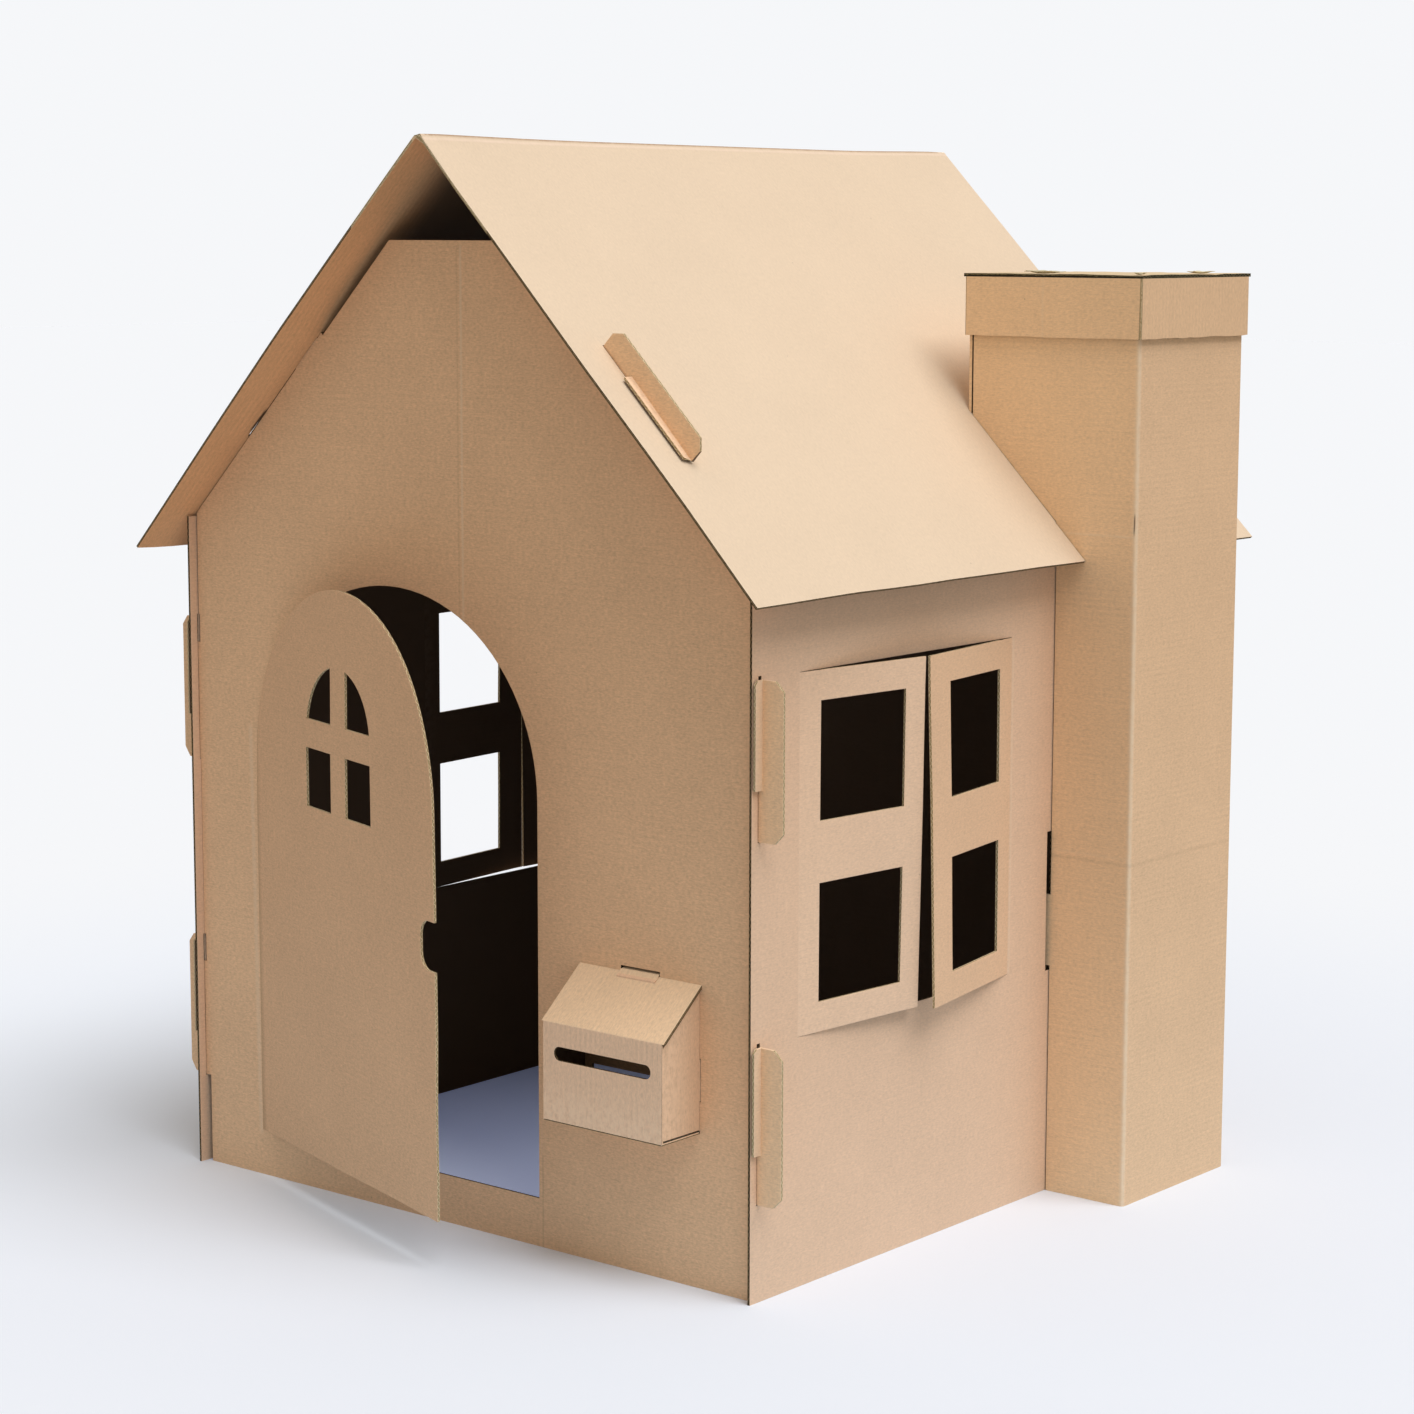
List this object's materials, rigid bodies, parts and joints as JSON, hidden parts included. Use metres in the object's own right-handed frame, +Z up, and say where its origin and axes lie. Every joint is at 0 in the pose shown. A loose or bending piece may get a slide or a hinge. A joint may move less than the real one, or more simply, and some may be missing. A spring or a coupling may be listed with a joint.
{
  "type": "cardboard playhouse",
  "caption": "Child's playhouse of folded brown corrugated board: gabled walls with an arched door standing ajar, shuttered side windows, ridge roof, boxed chimney with a lid, and a mailbox.",
  "frame": {"origin": "on the floor, under the middle of the front wall, at the middle of that board's thickness", "axes": "+X to the chimney's side, -Y out of the door, +Z up"},
  "size_m": [1.1087, 1.1499, 1.3326],
  "materials": {
    "gable_board": "brown corrugated board, matt, warm shade",
    "side_board": "brown corrugated board, matt",
    "roof_board": "brown corrugated board, matt, pale",
    "chimney_board": "brown corrugated board, matt"
  },
  "bodies": {
    "root": {"front_wall": "gable_board", "back_wall": "gable_board", "right_wall": "side_board", "left_wall": "side_board", "roof": "roof_board", "chimney": "chimney_board", "chimney_cap": "chimney_board", "mailbox": "gable_board"}
  },
  "joints": []
}
